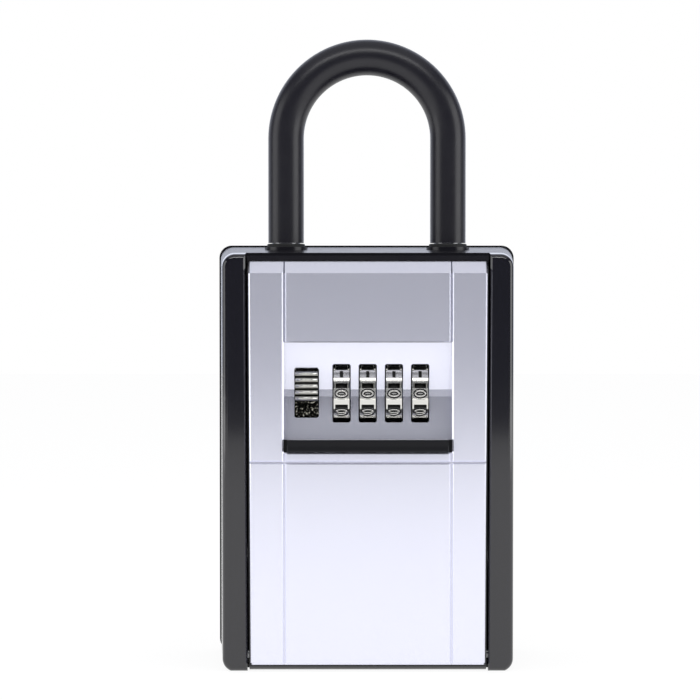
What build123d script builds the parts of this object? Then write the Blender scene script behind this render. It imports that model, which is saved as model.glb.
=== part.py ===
from build123d import *
import math
import os

os.makedirs("parts", exist_ok=True)

# Key lock box with a hanging shackle, a drop-down door and four number wheels.
# Millimetres. X points right, Y to the back and Z up. The origin is under the middle
# of the whole, on the plane that the box stands on.

# ---- Clearances ----
slide_gap = 0.1             # between flat faces that slide
side_gap = 0.3              # at guides and edges that pass each other
door_gap = 0.6              # door edge to jamb
back_gap = 0.4              # door to the housing's front edges
pin_fit = 0.05              # radial, pins and shafts in their bores

# ---- Housing: a drafted casting, wider and taller at its rear rim ----
body_width = 106.4          # across the rear rim
body_height = 146.6         # at the rear rim
body_depth = 52.0           # door face to back
front_width = 99.4          # across the two cheeks
front_drop = 3.8            # roof lower at the front than at the rim
front_height = body_height - front_drop
corner_radius = 4.5
wall = 3.0
back_wall = 2.5
rim_proud = 0.4             # rear rim outside the drafted walls
rim_thickness = 1.8
foot_trim = 0.3             # the loft starts this far below its flat foot
lip_proud = 2.0             # shutter lip ahead of the door face
face_y = -(body_depth + lip_proud) / 2 + lip_proud
rear_y = face_y + body_depth
rear_inside = rear_y - back_wall

# ---- Cheeks: polished caps over the front ends of the side walls ----
cheek_set_back = 0.8        # cheek front behind the door face
cheek_thickness = 1.8
cheek_edge_radius = 2.0
cheek_bevel = 0.6           # along the edge beside the door
cheek_y = face_y + cheek_set_back
tongue_y = cheek_y + cheek_thickness

# ---- Door frame and face plate ----
door_half_top = 41.3        # half-width of the frame at its top
door_half_bottom = 40.6
door_top_drop = 0.4         # door below the roof's front edge
door_top = front_height - door_top_drop
frame_thickness = 8.0
cap_set_back = 2.6          # the cap bar over the plate
plate_thickness = 1.4
plate_margin = 0.55         # frame shown beside the plate
plate_bottom = 2.4
plate_top_margin = 1.9      # frame shown above the plate
plate_top = door_top - plate_top_margin
plate_bevel = 0.45
foot_bevel = 0.6
band_height = 4.1           # the plate bends back over this height
band_bottom = plate_top - band_height
band_depth = 3.0
groove_x = 28.6             # seams between the plate's panels
dial_drop = 51.4            # wheels' axis below the rear rim
wheel_z = body_height - dial_drop
seam_below_dial = 23.4
groove_z = wheel_z - seam_below_dial
groove_width = 1.4          # across the bevels
groove_depth = 0.45
slit_width = 0.4
slit_depth = 1.0
frame_y = face_y + plate_thickness
door_back_y = frame_y + frame_thickness
jamb_y = door_back_y + back_gap
bend_drop = plate_thickness * band_depth / (plate_top - band_bottom) / 2

# ---- Hinge at the foot of the door ----
hinge_z = 5.6
hinge_y = frame_y + frame_thickness / 2
heel_radius = 5.5
heel_gap = 0.8              # between the heel's sweep and the housing's floor
pin_radius = 1.5
pin_in_door = 5.0
pin_in_wall = 4.6

# ---- Window and shutter ----
window_half = groove_x + slit_width / 2
window_below_dial = 20.1    # its foot and its head, from the wheels' axis
window_above_dial = 17.5
window_bottom = wheel_z - window_below_dial
window_top = wheel_z + window_above_dial
window_bevel = 0.5
sheet_thickness = 1.0
sheet_overlap = 1.6         # sheet behind the plate at each side
sheet_hidden = 35.1         # sheet below the window
sheet_bottom = window_bottom - sheet_hidden
sheet_corner = 2.0
lip_side_gap = 1.2          # lip end to window side
lip_height = 4.1
lip_shade = 2.2             # height of the lip's sloping upper facet
lip_edge = 0.5
track_end = 1.4             # track beyond the sheet at the top of its travel
sheet_half = window_half + sheet_overlap
lip_half = window_half - lip_side_gap
sheet_top = window_bottom + side_gap + lip_height
sheet_y = frame_y + slide_gap
track_y = sheet_y + sheet_thickness + slide_gap
shutter_travel = window_top - side_gap - sheet_top

# ---- Dial: wheels on a shaft behind a V-shaped bezel ----
wheel_count = 4
wheel_pitch = 9.0
wheel_first_x = -9.0
wheel_radius = 11.8
wheel_width = 5.4
wheel_set_back = 0.2        # rim behind the shutter's track
digit_count = 10
land_depth = 0.6            # digit lands below the ridges
land_angle = 18.0           # degrees that one digit land covers
flank_angle = 1.5           # slope from a land up to its ridge
crown_angle = 8.3           # ridge that the finger turns
pocket_depth = 1.5          # paint pocket between a ridge and the next land
pocket_wall = 0.5
web_recess = 0.8            # ring recess in a wheel's left side
rim_wall = 2.2
hub_margin = 0.8            # hub beyond the code disc
shaft_radius = 2.0
ramp_rise = 2.6             # foot of the lower ramp, above the window's foot
bezel_low_z = window_bottom + ramp_rise
bezel_depth = 5.4           # index band behind the track
bezel_wall = 1.2
index_height = 2.4          # flat index band at the foot of the V
slot_width = 6.3
slot_height = 20.1
slot_corner = 0.8
end_half = 6.0              # the bezel's ends at their deepest
bezel_half = window_half + bezel_wall
bezel_back_y = track_y + bezel_depth + bezel_wall
wheel_y = track_y + wheel_set_back + wheel_radius
wheel_xs = [wheel_first_x + i * wheel_pitch for i in range(wheel_count)]

# ---- Code discs: one beside each wheel, with a flat for the latch's teeth ----
disc_radius = 5.0
disc_thickness = 1.2
disc_flat = 4.4             # the flat's distance from the axis
tooth_reach = 4.55          # a tooth tip's distance from the axis
tooth_height = 0.8
finger_height = 4.0
finger_gap = 0.2            # finger to wheel, and root to disc
wheels_left = wheel_first_x - wheel_width / 2
wheels_right = wheel_xs[-1] + wheel_width / 2 + disc_thickness

# ---- Opening lever ----
lever_x = -21.0
lever_travel = 5.4
lever_slot_width = 8.5
lever_slot_height = 17.1
lever_slot_rise = 0.1       # its middle above the wheels' axis
lever_slot_z = wheel_z + lever_slot_rise
button_width = 7.7
button_height = 10.6
button_set_back = 3.5       # button front behind the door face
rib_count = 5
rib_depth = 0.7
base_overlap = 0.95         # base beyond the slot at each side
base_thickness = 1.3
shank_half = 2.5
shank_height = 6.0
shank_low = -2.0            # its foot, from the wheels' axis
button_y = face_y + button_set_back
base_y = bezel_back_y + slide_gap * 2

# ---- Latch plate behind the wheels ----
latch_gap = 0.5             # wheel rims to the plate
latch_thickness = 1.2
latch_height = 12.0
latch_end = 3.5             # plate beyond the lever's axis
latch_y = wheel_y + wheel_radius + latch_gap

# ---- Lock case on the door's back ----
case_half = 38.0
case_below_dial = 25.2      # its foot and its head, from the wheels' axis
case_above_dial = 25.8
case_bottom = wheel_z - case_below_dial
case_top = wheel_z + case_above_dial
case_wall = 2.0
case_corner = 3.0
rib_wall = 1.6              # inner ribs that carry the shaft
rib_gap = 0.4
screw_inset = 4.8
post_radius = 3.0
cover_thickness = 1.0
case_back_y = latch_y + latch_thickness + slide_gap
cover_back_y = case_back_y + cover_thickness
screw_xs = (-case_half + screw_inset, case_half - screw_inset)
screw_zs = (case_bottom + screw_inset, case_top - screw_inset)
rib_xs = (wheels_left - rib_gap - rib_wall, wheels_right + rib_gap)
shaft_stub = 2.2            # shaft beyond its ribs
clip_thickness = 0.6
clip_gap = 0.25             # rib to clip
clip_width = 1.6            # outside the shaft
clip_depth = 0.5            # groove in the shaft
clip_xs = (rib_xs[0] - clip_gap - clip_thickness, rib_xs[1] + rib_wall + clip_gap)

# ---- Latch arm and the keeper on the back wall ----
arm_half = 2.5
arm_reach = 8.0             # nose behind the latch plate's front
arm_thickness = 1.4
arm_play = 1.5              # notch round the arm in the case's top
nose_gap = 0.4              # nose above the keeper when the latch is free
keeper_half = 9.0
keeper_thickness = 2.0
keeper_foot = 11.0
keeper_ahead = 2.9          # tongue in front of the nose
nose_play = 1.0             # slot round the nose
keeper_screw_x = 5.5
keeper_screw_rise = 4.0     # above the foot's lower edge
arm_low = case_top + side_gap + lever_travel
nose_back_y = latch_y + arm_reach
nose_front_y = nose_back_y - arm_thickness
keeper_top = case_top

# ---- Detent comb ----
leaf = 0.5
comb_lift = 1.2             # pad above the case floor
finger_tip_gap = 0.15       # fingertips off the wheels' ridges
comb_y = door_back_y + 1.2
comb_back_y = latch_y - 3.0
comb_seat = 3.0             # depth of its foot
comb_seat_half = 8.0
comb_tip = (1.2, 1.6)       # fingertip before and behind the shaft's axis

# ---- Code-set slider ----
setter_inset = 14.0         # its axis, from the lock case's side
setter_x = setter_inset - case_half
setter_rise = 8.0           # above the lock case's foot
setter_z = case_bottom + setter_rise
setter_travel = 3.0
setter_neck = (4.0, 3.0)
setter_flange = (8.0, 7.0)
setter_knob = (6.0, 6.0)
setter_proud = 2.0
knob_gap = 0.2

# ---- Shackle ----
leg_spacing = 57.4
core_radius = 5.0
sleeve_radius = 6.3
shackle_rise = 72.6         # above the rear rim
shackle_top = body_height + shackle_rise
shackle_lift = 22.0
boss_rise = 0.2             # flat leg bosses above the sloping roof
boss_radius = 7.6
grommet_radius = 6.7
grommet_height = 1.2
notch_radius = 3.5
notch_height = 2.6
short_tail = 2.7            # short leg below its notch
long_tail = 4.5             # long leg below its stop pin
leg_bevel = 0.8
stop_pin_radius = 1.25
stop_pin_half = 7.5
leg_y = cover_back_y + side_gap + core_radius
leg_xs = (-leg_spacing / 2, leg_spacing / 2)

# ---- Shackle lock: a keyhole bar over a screwed cover ----
bar_drop = 10.6             # below the rear rim
bar_bottom = body_height - bar_drop
bar_thickness = 2.0
bar_depth = 16.0
bar_travel = 5.0
bar_web = 2.5               # metal beyond the bar's holes
tab_x = 6.0                 # finger tab
tab_half = 3.0
tab_depth = 5.0
tab_drop = 4.0
tab_play = 0.5
lock_post_radius = 2.4
post_gap = 2.3              # leg to a post's axis, seen from the front
lock_cover_thickness = 2.0
lock_cover_edge = 3.3       # cover beyond the posts' axes
lock_cover_top = bar_bottom - slide_gap
lock_cover_bottom = lock_cover_top - lock_cover_thickness
notch_z = bar_bottom + bar_thickness / 2 - notch_height / 2
short_end = notch_z - short_tail
stop_z = lock_cover_bottom - shackle_lift - slide_gap - stop_pin_radius
long_end = stop_z - long_tail
post_x = leg_spacing / 2 + core_radius + post_gap
post_y = bar_depth / 2 + side_gap + lock_post_radius

# ---- Screws ----
head_radius = 2.3
shank_radius = 1.2
head_depth = 1.0            # countersink
case_screw = 7.0
lock_screw = 6.0
keeper_screw = 3.8

# ---- Wall mounting ----
mount_x = 30.0
mount_low = 35.0
mount_drop = 31.6           # upper holes below the rear rim
mount_high = body_height - mount_drop
mount_radius = 2.75
mount_boss_radius = 5.5
mount_boss_height = 1.5
over = 1.0                  # how far a cutter runs past what it cuts
span = body_width           # long enough to cross the whole box


def width_at(y):
    rear_width = body_width - 2 * rim_proud
    return front_width + (rear_width - front_width) * (y - face_y) / body_depth


def height_at(y):
    rear_height = body_height - rim_proud
    return front_height + (rear_height - front_height) * (y - face_y) / body_depth


def door_half(z):
    return door_half_bottom + (door_half_top - door_half_bottom) * z / door_top


top_inside = height_at(leg_y) - wall
boss_top = height_at(leg_y + boss_radius) + boss_rise


def front(y):
    # drawing plane seen from the front, at depth y
    return Plane((0, y, 0), x_dir=(1, 0, 0), z_dir=(0, -1, 0))


def upright(sketch, y0, y1):
    # a front-view outline carried back from y0 to y1
    return extrude(front(y1) * sketch, amount=y1 - y0, dir=(0, -1, 0))


def across(sketch, x0, x1):
    # a side-view outline carried to the right from x0 to x1
    return extrude(Plane.YZ.offset(x0) * sketch, amount=x1 - x0, dir=(1, 0, 0))


def rise(sketch, z0, z1):
    # a plan-view outline carried up from z0 to z1
    return extrude(Plane.XY.offset(z0) * sketch, amount=z1 - z0, dir=(0, 0, 1))


def oblong(x0, x1, y0, y1):
    # a rectangle given by its sides, in a plane's own two directions
    return Pos((x0 + x1) / 2, (y0 + y1) / 2) * Rectangle(x1 - x0, y1 - y0)


def soft_oblong(x0, x1, y0, y1, radius):
    return Pos((x0 + x1) / 2, (y0 + y1) / 2) * RectangleRounded(x1 - x0, y1 - y0, radius)


def trapezoid(z0, z1, margin):
    # the door's outline between two heights, grown by a margin at each side
    low, high = door_half(z0) + margin, door_half(z1) + margin
    return Polygon((-low, z0), (low, z0), (high, z1), (-high, z1), align=None)


def flared(outline_front, y0, outline_back, y1):
    return loft([front(y0) * outline_front, front(y1) * outline_back])


def flat_foot(block, z):
    # cut off what hangs below a level
    depth = 2 * foot_trim + over
    return block - rise(oblong(-span, span, -span, span), z - depth, z)


def shell_section(y, inset):
    # a rounded front-view outline at depth y, with its foot a little low
    low, high = inset - foot_trim, height_at(y) - inset
    half = width_at(y) / 2 - inset
    return soft_oblong(-half, half, low, high, max(corner_radius - inset, corner_radius / 4))


def drafted(y0, y1, inset):
    # the tapering shell between two depths
    return flat_foot(flared(shell_section(y0, inset), y0, shell_section(y1, inset), y1), inset)


def save(name, shape):
    shape.label = name
    export_step(shape, f"parts/{name}.step")


def doorway():
    # what the door leaves between the cheeks, open at the top and the foot
    return upright(trapezoid(-body_height, 2 * body_height, door_gap), face_y - over, jamb_y)


def make_housing():
    shell = drafted(jamb_y, rear_y, 0) + drafted(tongue_y, jamb_y, cheek_thickness)
    rim = soft_oblong(-body_width / 2, body_width / 2, -foot_trim, body_height, corner_radius)
    shell += flat_foot(upright(rim, rear_y - rim_thickness, rear_y), 0)
    shell -= drafted(jamb_y, rear_inside, wall)
    shell -= doorway()
    for x in leg_xs:
        boss = Pos(x, leg_y) * Circle(boss_radius)
        shell += rise(boss, bar_bottom + bar_thickness + slide_gap, boss_top)
    for x, y in lock_posts:
        post = Pos(x, y) * Circle(lock_post_radius)
        shell += rise(post, lock_cover_top, top_inside + wall / 4)
    for x in leg_xs:
        bore = Pos(x, leg_y) * Circle(core_radius + pin_fit)
        shell -= rise(bore, bar_bottom, boss_top + over)
    for x in (-mount_x, mount_x):
        for z in (mount_low, mount_high):
            boss = Pos(x, z) * Circle(mount_boss_radius)
            hole = Pos(x, z) * Circle(mount_radius)
            shell += upright(boss, rear_inside - mount_boss_height, rear_inside + back_wall / 4)
            shell -= upright(hole, rear_inside - mount_boss_height - over, rear_y + over)
    for screw in lock_screws() + keeper_screws():
        shell -= screw
    jamb = door_half(hinge_z) + door_gap
    sweep_room = Pos(hinge_y, hinge_z) * Circle(heel_radius + heel_gap)
    shell -= across(sweep_room, -jamb, jamb)
    pin_bore = Pos(hinge_y, hinge_z) * Circle(pin_radius)
    for side in (-1, 1):
        x0, x1 = sorted((side * (jamb - over), side * (jamb + pin_in_wall)))
        shell -= across(pin_bore, x0, x1)
    return shell


def make_cheek(side):
    # an L over the front and outside of one side wall, with capped ends
    block = drafted(cheek_y, jamb_y, 0)
    rim = block.faces().sort_by(Axis.Y)[0].edges()
    block = fillet(rim, cheek_edge_radius)
    block -= drafted(tongue_y, jamb_y, cheek_thickness)
    block -= doorway()
    low, high = -body_height, 2 * body_height
    block -= flared(trapezoid(low, high, door_gap + cheek_bevel + over), cheek_y - over,
                    trapezoid(low, high, door_gap), cheek_y + cheek_bevel)
    return block.solids().sort_by(Axis.X)[0 if side < 0 else -1]


def make_hinge_pins():
    pin = Pos(hinge_y, hinge_z) * Circle(pin_radius)
    jamb = door_half(hinge_z) + door_gap
    pins = []
    for side in (-1, 1):
        inner = side * (door_half(hinge_z) - pin_in_door)
        x0, x1 = sorted((inner, side * (jamb + pin_in_wall)))
        pins.append(across(pin, x0, x1))
    return Compound(children=pins)


def flush_screw(length):
    # a countersunk screw at the origin, driven towards -Y
    outline = Polygon((0, 0), (head_radius, 0), (shank_radius, -head_depth), (shank_radius, -length),
                      (0, -length), align=None)
    return revolve(Plane.XY * outline, axis=Axis.Y)


def cover_screws():
    return [Pos(x, cover_back_y, z) * flush_screw(case_screw) for x in screw_xs for z in screw_zs]


lock_posts = [(x, leg_y + y) for x in (-post_x, post_x) for y in (-post_y, post_y)]


def lock_screws():
    # driven up through the lock cover into its posts
    return [Pos(x, y, lock_cover_bottom) * Rot(-90, 0, 0) * flush_screw(lock_screw)
            for x, y in lock_posts]


def keeper_screws():
    # driven back through the keeper's foot into the back wall
    y, z = rear_inside - keeper_thickness, keeper_top - keeper_foot + keeper_screw_rise
    return [Pos(x, y, z) * Rot(0, 0, 180) * flush_screw(keeper_screw)
            for x in (-keeper_screw_x, keeper_screw_x)]


def make_keeper():
    # an angle bracket whose tongue has the slot for the latch's nose
    foot = oblong(rear_inside - keeper_thickness, rear_inside, keeper_top - keeper_foot, keeper_top)
    front_edge = nose_front_y - keeper_ahead
    tongue = soft_oblong(-keeper_half, keeper_half, front_edge, rear_inside, keeper_thickness)
    root = oblong(-keeper_half, keeper_half, rear_inside - 2 * keeper_thickness, rear_inside)
    bracket = across(foot, -keeper_half, keeper_half)
    bracket += rise(tongue, keeper_top - keeper_thickness, keeper_top)
    bracket += rise(root, keeper_top - keeper_thickness, keeper_top)
    slot = soft_oblong(-arm_half - nose_play, arm_half + nose_play, nose_front_y - nose_play,
                       nose_back_y + nose_play, slot_corner)
    bracket -= rise(slot, keeper_top - keeper_thickness - over, keeper_top + over)
    for screw in keeper_screws():
        bracket -= screw
    return bracket


def shackle_path(z_short, z_long):
    # up the short leg, over the arch, down the long one
    radius = leg_spacing / 2
    spring = shackle_top - sleeve_radius - radius
    left, right = leg_xs
    rise_line = Line((left, z_short), (left, spring))
    arch = ThreePointArc((left, spring), (0, spring + radius), (right, spring))
    fall_line = Line((right, spring), (right, z_long))
    return front(leg_y) * (rise_line + arch + fall_line)


def swept_round(z_short, z_long, radius):
    profile = Plane.XY.offset(z_short) * Pos(leg_xs[0], leg_y) * Circle(radius)
    return sweep(profile, path=shackle_path(z_short, z_long))


def make_shackle_core():
    core = swept_round(short_end, long_end, core_radius)
    ring = Circle(core_radius + over) - Circle(notch_radius)
    for x in leg_xs:
        core -= rise(Pos(x, leg_y) * ring, notch_z, notch_z + notch_height)
    pin_bore = Pos(leg_y, stop_z) * Circle(stop_pin_radius)
    core -= across(pin_bore, leg_xs[1] - core_radius - over, leg_xs[1] + core_radius + over)
    ends = [e for e in core.edges().filter_by(GeomType.CIRCLE)
            if min(abs(e.center().Z - short_end), abs(e.center().Z - long_end)) < pin_fit]
    return chamfer(ends, leg_bevel)


def make_shackle_sleeve():
    foot = boss_top + grommet_height + side_gap
    return swept_round(foot, foot, sleeve_radius) - swept_round(foot - over, foot - over, core_radius)


def make_grommet(x):
    ring = Pos(x, leg_y) * (Circle(grommet_radius) - Circle(core_radius + side_gap))
    grommet = rise(ring, boss_top, boss_top + grommet_height)
    rim = grommet.edges().filter_by(GeomType.CIRCLE).group_by(Axis.Z)[-1].sort_by(SortBy.RADIUS)[-1]
    return fillet(rim, grommet_height * 0.4)


def make_stop_pin():
    # a cross pin through the long leg; it meets the lock cover when the shackle is up
    pin = Pos(leg_y, stop_z) * Circle(stop_pin_radius)
    pin = across(pin, leg_xs[1] - stop_pin_half, leg_xs[1] + stop_pin_half)
    return chamfer(pin.edges().filter_by(GeomType.CIRCLE), stop_pin_radius / 4)


def make_lock_bar():
    # wide holes let the legs pass; the narrow ends enter the legs' notches
    left = leg_xs[0] - core_radius - side_gap - bar_web
    right = leg_xs[1] + bar_travel + notch_radius + side_gap + bar_web
    outline = soft_oblong(left, right, leg_y - bar_depth / 2, leg_y + bar_depth / 2, bar_depth / 5)
    for x in leg_xs:
        outline -= Pos(x, leg_y) * Circle(core_radius + side_gap)
        keyhole = SlotCenterToCenter(bar_travel, 2 * (notch_radius + side_gap))
        outline -= Pos(x + bar_travel / 2, leg_y) * keyhole
    tab = Pos(tab_x, leg_y) * RectangleRounded(2 * tab_half, tab_depth, tab_depth / 5)
    bar = rise(outline, bar_bottom, bar_bottom + bar_thickness)
    return bar + rise(tab, lock_cover_bottom - tab_drop, bar_bottom + bar_thickness / 2)


def make_lock_cover():
    half, depth = post_x + lock_cover_edge, post_y + lock_cover_edge
    outline = soft_oblong(-half, half, leg_y - depth, leg_y + depth, lock_cover_edge)
    for x in leg_xs:
        outline -= Pos(x, leg_y) * Circle(core_radius + side_gap)
    side, play = tab_half + tab_play, tab_depth / 2 + tab_play
    outline -= soft_oblong(tab_x - side - bar_travel, tab_x + side, leg_y - play, leg_y + play,
                           tab_depth / 5)
    cover = rise(outline, lock_cover_bottom, lock_cover_top)
    for screw in lock_screws():
        cover -= screw
    return cover


def make_door_frame():
    # side profile: a slab with a round heel at the hinge and a cap bar at the top
    heel_z = hinge_z - math.sqrt(heel_radius ** 2 - (frame_thickness / 2) ** 2)
    cap_y, cap_z = face_y + cap_set_back, plate_top + side_gap
    slab = Polyline((frame_y, heel_z), (frame_y, band_bottom - bend_drop),
                    (frame_y + band_depth, plate_top - bend_drop), (frame_y + band_depth, cap_z),
                    (cap_y, cap_z), (cap_y, door_top), (door_back_y, door_top), (door_back_y, heel_z))
    heel = ThreePointArc((door_back_y, heel_z), (hinge_y, hinge_z - heel_radius), (frame_y, heel_z))
    frame = across(make_face(slab + heel), -span, span)
    frame &= upright(trapezoid(0, door_top, 0), face_y - over, door_back_y + over)
    track = oblong(-sheet_half - side_gap, sheet_half + side_gap, sheet_bottom - track_end,
                   sheet_top + shutter_travel + track_end)
    frame -= upright(track, frame_y - over, track_y)
    opening = oblong(-bezel_half, bezel_half, bezel_low_z - bezel_wall, window_top + bezel_wall)
    frame -= upright(opening, track_y - over, door_back_y + over)
    bore = Pos(hinge_y, hinge_z) * Circle(pin_radius + pin_fit)
    for side in (-1, 1):
        inner = side * (door_half(hinge_z) - pin_in_door)
        x0, x1 = sorted((inner, side * (door_half(hinge_z) + over)))
        frame -= across(bore, x0, x1)
    return frame


def seam(at):
    # section of a seam: two bevels that lead into a narrow slit
    wide, narrow = groove_width / 2, slit_width / 2
    bevel_y, slit_y = face_y + groove_depth, face_y + slit_depth
    return [(at - wide, face_y), (at + wide, face_y), (at + narrow, bevel_y), (at + narrow, slit_y),
            (at - narrow, slit_y), (at - narrow, bevel_y)]


def make_face_plate():
    profile = [(face_y + foot_bevel, plate_bottom), (face_y, plate_bottom + foot_bevel),
               (face_y, band_bottom), (face_y + band_depth, plate_top),
               (frame_y + band_depth, plate_top - bend_drop), (frame_y, band_bottom - bend_drop),
               (frame_y, plate_bottom)]
    plate = across(Polygon(*profile, align=None), -span, span)
    plate &= upright(trapezoid(0, body_height, -plate_margin), face_y - over, frame_y + band_depth + over)
    sides = [e for f in plate.faces() if f.normal_at().Y < -0.5
             for e in f.edges() if abs(e.center().X) > window_half]
    plate = chamfer(sides, plate_bevel)
    opening = oblong(-window_half, window_half, window_bottom, window_top)
    plate -= upright(opening, face_y - over, frame_y + over)
    grown = window_bevel + over
    flare = oblong(-window_half, window_half, window_bottom - grown, window_top + grown)
    plate -= flared(flare, face_y - over, opening, face_y + window_bevel)
    plate -= across(Polygon(*[(y, z) for z, y in seam(groove_z)], align=None), -span, span)
    for x in (-groove_x, groove_x):
        plate -= rise(Polygon(*seam(x), align=None), plate_bottom - over, plate_top + over)
    return plate


def make_shutter_sheet():
    outline = oblong(-sheet_half, sheet_half, sheet_bottom, sheet_top)
    sheet = upright(outline, sheet_y, sheet_y + sheet_thickness)
    corners = sheet.edges().filter_by(Axis.Y).group_by(Axis.Z)[0]
    return fillet(corners, sheet_corner)


def make_shutter_lip():
    # the thumb bead: a sloping shelf above a flat front
    nose = face_y - lip_proud
    low, high = sheet_top - lip_height, sheet_top
    outline = Polygon((sheet_y, low), (nose + lip_edge, low), (nose, low + lip_edge),
                      (nose, high - lip_shade), (face_y - lip_edge / 2, high), (sheet_y, high), align=None)
    lip = across(outline, -lip_half, lip_half)
    ends = lip.edges().filter_by(Axis.Z).sort_by(Axis.Y)[:2]
    return fillet(ends, lip_edge)


def vee_outline(shift):
    # the bezel's front line, moved back by the wall for its rear face
    mid_low, mid_high = wheel_z - index_height / 2, wheel_z + index_height / 2
    return [(track_y + shift, bezel_low_z), (track_y + bezel_depth + shift, mid_low),
            (track_y + bezel_depth + shift, mid_high), (track_y + shift, window_top)]


def make_bezel():
    # a tray with two ramps, an index band at their foot, and a slot for each wheel
    rear_y1 = track_y + bezel_wall
    low, high = bezel_low_z - bezel_wall + side_gap, window_top + bezel_wall - side_gap
    ring = [(track_y, low)] + vee_outline(0) + [(track_y, high), (rear_y1, high)]
    ring += vee_outline(bezel_wall)[::-1] + [(rear_y1, low)]
    tray = across(Polygon(*ring, align=None), -window_half, window_half)
    side = Polygon((track_y, low), (track_y, high), (rear_y1, high), (bezel_back_y, wheel_z + end_half),
                   (bezel_back_y, wheel_z - end_half), (rear_y1, low), align=None)
    tray += across(side, -bezel_half + side_gap, -window_half)
    tray += across(side, window_half, bezel_half - side_gap)
    slots = [(x, wheel_z, slot_width, slot_height) for x in wheel_xs]
    slots += [(lever_x, lever_slot_z, lever_slot_width, lever_slot_height)]
    for x, z, width, height in slots:
        slot = Pos(x, z) * RectangleRounded(width, height, slot_corner)
        tray -= upright(slot, track_y - over, bezel_back_y + over)
    return tray


def make_case():
    # an open-backed box with two ribs that carry the shaft
    outer = soft_oblong(-case_half, case_half, case_bottom, case_top, case_corner)
    inner = soft_oblong(-case_half + case_wall, case_half - case_wall, case_bottom + case_wall,
                        case_top - case_wall, case_corner / 2)
    case = upright(outer - inner, door_back_y, case_back_y)
    for x in rib_xs:
        rib = oblong(x, x + rib_wall, case_bottom + case_wall / 2, case_top - case_wall / 2)
        case += upright(rib, door_back_y, latch_y - slide_gap)
    for x in screw_xs:
        for z in screw_zs:
            case += upright(Pos(x, z) * Circle(post_radius), door_back_y, case_back_y)
    bore = Pos(wheel_y, wheel_z) * Circle(shaft_radius + pin_fit)
    for x in rib_xs:
        case -= across(bore, x - over, x + rib_wall + over)
    for screw in cover_screws():
        case -= screw
    notch = oblong(-arm_half - arm_play, arm_half + arm_play, case_top - 2 * case_wall, case_top + over)
    return case - upright(notch, latch_y - arm_play, case_back_y + over)


def make_shaft():
    rod = across(Pos(wheel_y, wheel_z) * Circle(shaft_radius), rib_xs[0] - shaft_stub,
                 rib_xs[1] + rib_wall + shaft_stub)
    groove = Pos(wheel_y, wheel_z) * (Circle(shaft_radius + over) - Circle(shaft_radius - clip_depth))
    for x in clip_xs:
        rod -= across(groove, x - pin_fit, x + clip_thickness + pin_fit)
    ends = [e for f in (rod.faces().sort_by(Axis.X)[0], rod.faces().sort_by(Axis.X)[-1]) for e in f.edges()]
    return chamfer(ends, clip_depth / 2)


def make_shaft_clips():
    # open rings that snap into the shaft's grooves
    ring = Circle(shaft_radius + clip_width) - Circle(shaft_radius - clip_depth)
    mouth = Rectangle(2 * shaft_radius + clip_width, shaft_radius - clip_depth)
    ring = Pos(wheel_y, wheel_z) * (ring - Pos(shaft_radius + clip_width / 2, 0) * mouth)
    return Compound(children=[across(ring, x, x + clip_thickness) for x in clip_xs])


def polar(radius, degrees):
    return (radius * math.cos(math.radians(degrees)), radius * math.sin(math.radians(degrees)))


def make_wheel(x):
    # round the rim: a flat digit land, a ridge, and a pocket that rises to the next land
    pitch, half = 360 / digit_count, land_angle / 2
    floor, outside = wheel_radius - land_depth, wheel_radius + over
    crown_end = half + flank_angle + crown_angle
    land = Polygon(polar(floor, -half), polar(floor, half), polar(outside, half + flank_angle),
                   polar(outside, -half), align=None)
    pocket = Polygon(polar(outside, crown_end), polar(wheel_radius - pocket_depth, crown_end),
                     polar(floor, pitch - half), polar(outside, pitch - half), align=None)
    rim = Circle(wheel_radius) - Circle(shaft_radius + pin_fit)
    turns = [Rot(0, 0, 180 + i * pitch) for i in range(digit_count)]
    for turn in turns:
        rim -= turn * land
    recess = Circle(wheel_radius - rim_wall) - Circle(disc_radius + hub_margin)
    left, right = x - wheel_width / 2, x + wheel_width / 2
    axis = Pos(wheel_y, wheel_z)
    wheel = across(axis * rim, left, right) - across(axis * recess, left - over, left + web_recess)
    for turn in turns:
        wheel -= across(axis * turn * pocket, left + pocket_wall, right - pocket_wall)
    return wheel


def make_disc(x):
    # a round disc with a flat that faces back when its wheel shows its code digit
    past = disc_radius + over
    outline = Circle(disc_radius) & oblong(-past, disc_flat, -past, past)
    outline -= Circle(shaft_radius + pin_fit)
    left = x + wheel_width / 2
    return across(Pos(wheel_y, wheel_z) * outline, left, left + disc_thickness)


def make_comb():
    # a leaf spring with one finger beneath each wheel, screwed to the case floor
    floor_z = case_bottom + case_wall
    foot_z = floor_z + comb_lift
    tip_z = wheel_z - wheel_radius - finger_tip_gap
    tip_front, tip_back = wheel_y - comb_tip[0], wheel_y + comb_tip[1]
    strip = oblong(comb_y, comb_back_y, foot_z, foot_z + leaf)
    comb = across(strip, wheels_left, wheels_right - disc_thickness)
    finger = Polygon((comb_y, foot_z), (comb_y + leaf * 1.4, foot_z), (tip_back, tip_z - leaf),
                     (tip_back, tip_z), (tip_front, tip_z), (comb_y, foot_z + leaf), align=None)
    for x in wheel_xs:
        half = wheel_width / 2 - leaf
        comb += across(finger, x - half, x + half)
    seat_x = (wheels_left + wheels_right) / 2
    seat = oblong(comb_back_y - comb_seat, comb_back_y, floor_z, foot_z + leaf)
    return comb + across(seat, seat_x - comb_seat_half, seat_x + comb_seat_half)


def setter_block(size, margin, travel=0.0):
    # an outline round the code-set slider's axis, longer by its travel where it slides
    half, tall = size[0] / 2 + margin, size[1] / 2 + margin
    return soft_oblong(setter_x - half, setter_x + half + travel, setter_z - tall, setter_z + tall,
                       size[1] / 4)


def make_cover():
    outline = soft_oblong(-case_half, case_half, case_bottom, case_top, case_corner)
    outline -= setter_block(setter_neck, side_gap, setter_travel)
    cover = upright(outline, case_back_y, cover_back_y)
    for screw in cover_screws():
        cover -= screw
    return cover


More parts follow.
